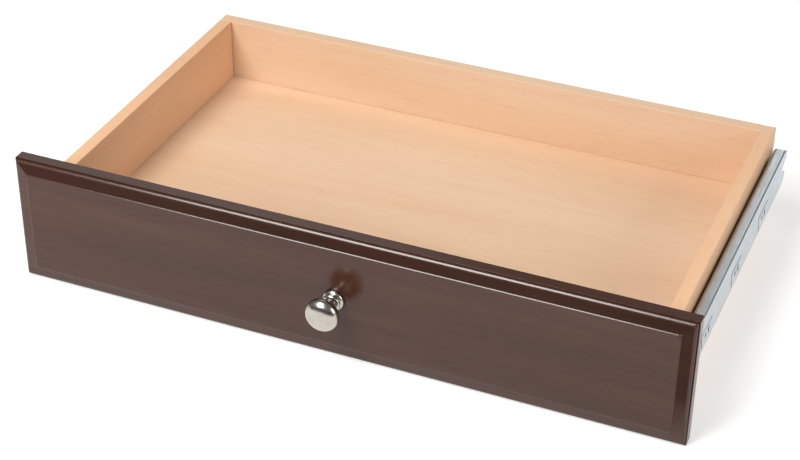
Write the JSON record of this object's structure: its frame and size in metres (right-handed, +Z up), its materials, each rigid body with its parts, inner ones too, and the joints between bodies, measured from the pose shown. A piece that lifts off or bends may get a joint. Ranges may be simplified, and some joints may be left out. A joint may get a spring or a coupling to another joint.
{
  "type": "cabinet drawer on ball-bearing slides",
  "caption": "Wide shallow closet drawer with a routed dark front, mushroom knob and pale box, hung between side-mounted full-extension ball-bearing slides that fix to a cabinet's walls.",
  "frame": {"origin": "middle of the overall box in plan, at the height of the front's bottom edge", "axes": "+X to the right of a person who faces the front, +Y towards the back of the drawer, +Z up"},
  "size_m": [0.6096, 0.3928, 0.1216],
  "materials": {
    "dark_foil": "satin",
    "maple_panel": "satin",
    "beech_dowel": "matte",
    "satin_nickel": "satin",
    "zinc_fitting": "satin",
    "zinc_plated_steel": "satin",
    "bright_steel": "gloss",
    "black_plastic": "matte",
    "grey_bumper": "matte"
  },
  "bodies": {
    "cabinet_members": {"left_cabinet_member": "zinc_plated_steel", "left_rear_bumper": "grey_bumper", "right_cabinet_member": "zinc_plated_steel", "right_rear_bumper": "grey_bumper"},
    "drawer": {"drawer_front": "dark_foil", "left_side_panel": "maple_panel", "right_side_panel": "maple_panel", "back_panel": "maple_panel", "bottom_panel": "maple_panel", "knob": "satin_nickel", "knob_screw": "zinc_fitting", "left_lower_cam_bolt": "zinc_fitting", "left_lower_cam_lock": "zinc_fitting", "left_lower_back_screw": "zinc_fitting", "left_upper_cam_bolt": "zinc_fitting", "left_upper_cam_lock": "zinc_fitting", "left_upper_back_screw": "zinc_fitting", "left_front_dowel": "beech_dowel", "left_drawer_member": "zinc_plated_steel", "left_slide_screw_1": "zinc_plated_steel", "left_slide_screw_2": "zinc_plated_steel", "left_slide_screw_3": "zinc_plated_steel", "left_lever_rivet": "bright_steel", "right_lower_cam_bolt": "zinc_fitting", "right_lower_cam_lock": "zinc_fitting", "right_lower_back_screw": "zinc_fitting", "right_upper_cam_bolt": "zinc_fitting", "right_upper_cam_lock": "zinc_fitting", "right_upper_back_screw": "zinc_fitting", "right_front_dowel": "beech_dowel", "right_drawer_member": "zinc_plated_steel", "right_slide_screw_1": "zinc_plated_steel", "right_slide_screw_2": "zinc_plated_steel", "right_slide_screw_3": "zinc_plated_steel", "right_lever_rivet": "bright_steel"},
    "left_intermediate": {"left_intermediate_member": "zinc_plated_steel"},
    "left_outer_cage": {"left_outer_ball_retainer": "bright_steel"},
    "left_inner_cage": {"left_inner_ball_retainer": "bright_steel"},
    "left_lever": {"left_release_lever": "black_plastic"},
    "right_intermediate": {"right_intermediate_member": "zinc_plated_steel"},
    "right_outer_cage": {"right_outer_ball_retainer": "bright_steel"},
    "right_inner_cage": {"right_inner_ball_retainer": "bright_steel"},
    "right_lever": {"right_release_lever": "black_plastic"}
  },
  "joints": [
    {"name": "drawer_slide", "type": "slide", "parent": "cabinet_members", "child": "drawer", "axis": [0, -1, 0], "range_m": [0, 0.33]},
    {"name": "left_intermediate_slide", "type": "slide", "parent": "cabinet_members", "child": "left_intermediate", "axis": [0, -1, 0], "range_m": [0, 0.165]},
    {"name": "left_outer_cage_slide", "type": "slide", "parent": "cabinet_members", "child": "left_outer_cage", "axis": [0, -1, 0], "range_m": [0, 0.0825]},
    {"name": "left_inner_cage_slide", "type": "slide", "parent": "cabinet_members", "child": "left_inner_cage", "axis": [0, -1, 0], "range_m": [0, 0.2475]},
    {"name": "left_lever_pivot", "type": "hinge", "parent": "drawer", "child": "left_lever", "pos_m": [-0.2866, 0.0385, 0.063], "axis": [1, 0, 0], "range_deg": [0, 5], "stiffness_Nm_per_rad": 0.03, "springref_deg": -11.46},
    {"name": "right_intermediate_slide", "type": "slide", "parent": "cabinet_members", "child": "right_intermediate", "axis": [0, -1, 0], "range_m": [0, 0.165]},
    {"name": "right_outer_cage_slide", "type": "slide", "parent": "cabinet_members", "child": "right_outer_cage", "axis": [0, -1, 0], "range_m": [0, 0.0825]},
    {"name": "right_inner_cage_slide", "type": "slide", "parent": "cabinet_members", "child": "right_inner_cage", "axis": [0, -1, 0], "range_m": [0, 0.2475]},
    {"name": "right_lever_pivot", "type": "hinge", "parent": "drawer", "child": "right_lever", "pos_m": [0.2866, 0.0385, 0.063], "axis": [-1, 0, 0], "range_deg": [0, 5], "stiffness_Nm_per_rad": 0.03, "springref_deg": -11.46}
  ],
  "couplings": [
    {"joint": "left_intermediate_slide", "follows": "drawer_slide", "ratio": 0.5},
    {"joint": "left_outer_cage_slide", "follows": "drawer_slide", "ratio": 0.25},
    {"joint": "left_inner_cage_slide", "follows": "drawer_slide", "ratio": 0.75},
    {"joint": "right_intermediate_slide", "follows": "drawer_slide", "ratio": 0.5},
    {"joint": "right_outer_cage_slide", "follows": "drawer_slide", "ratio": 0.25},
    {"joint": "right_inner_cage_slide", "follows": "drawer_slide", "ratio": 0.75}
  ]
}
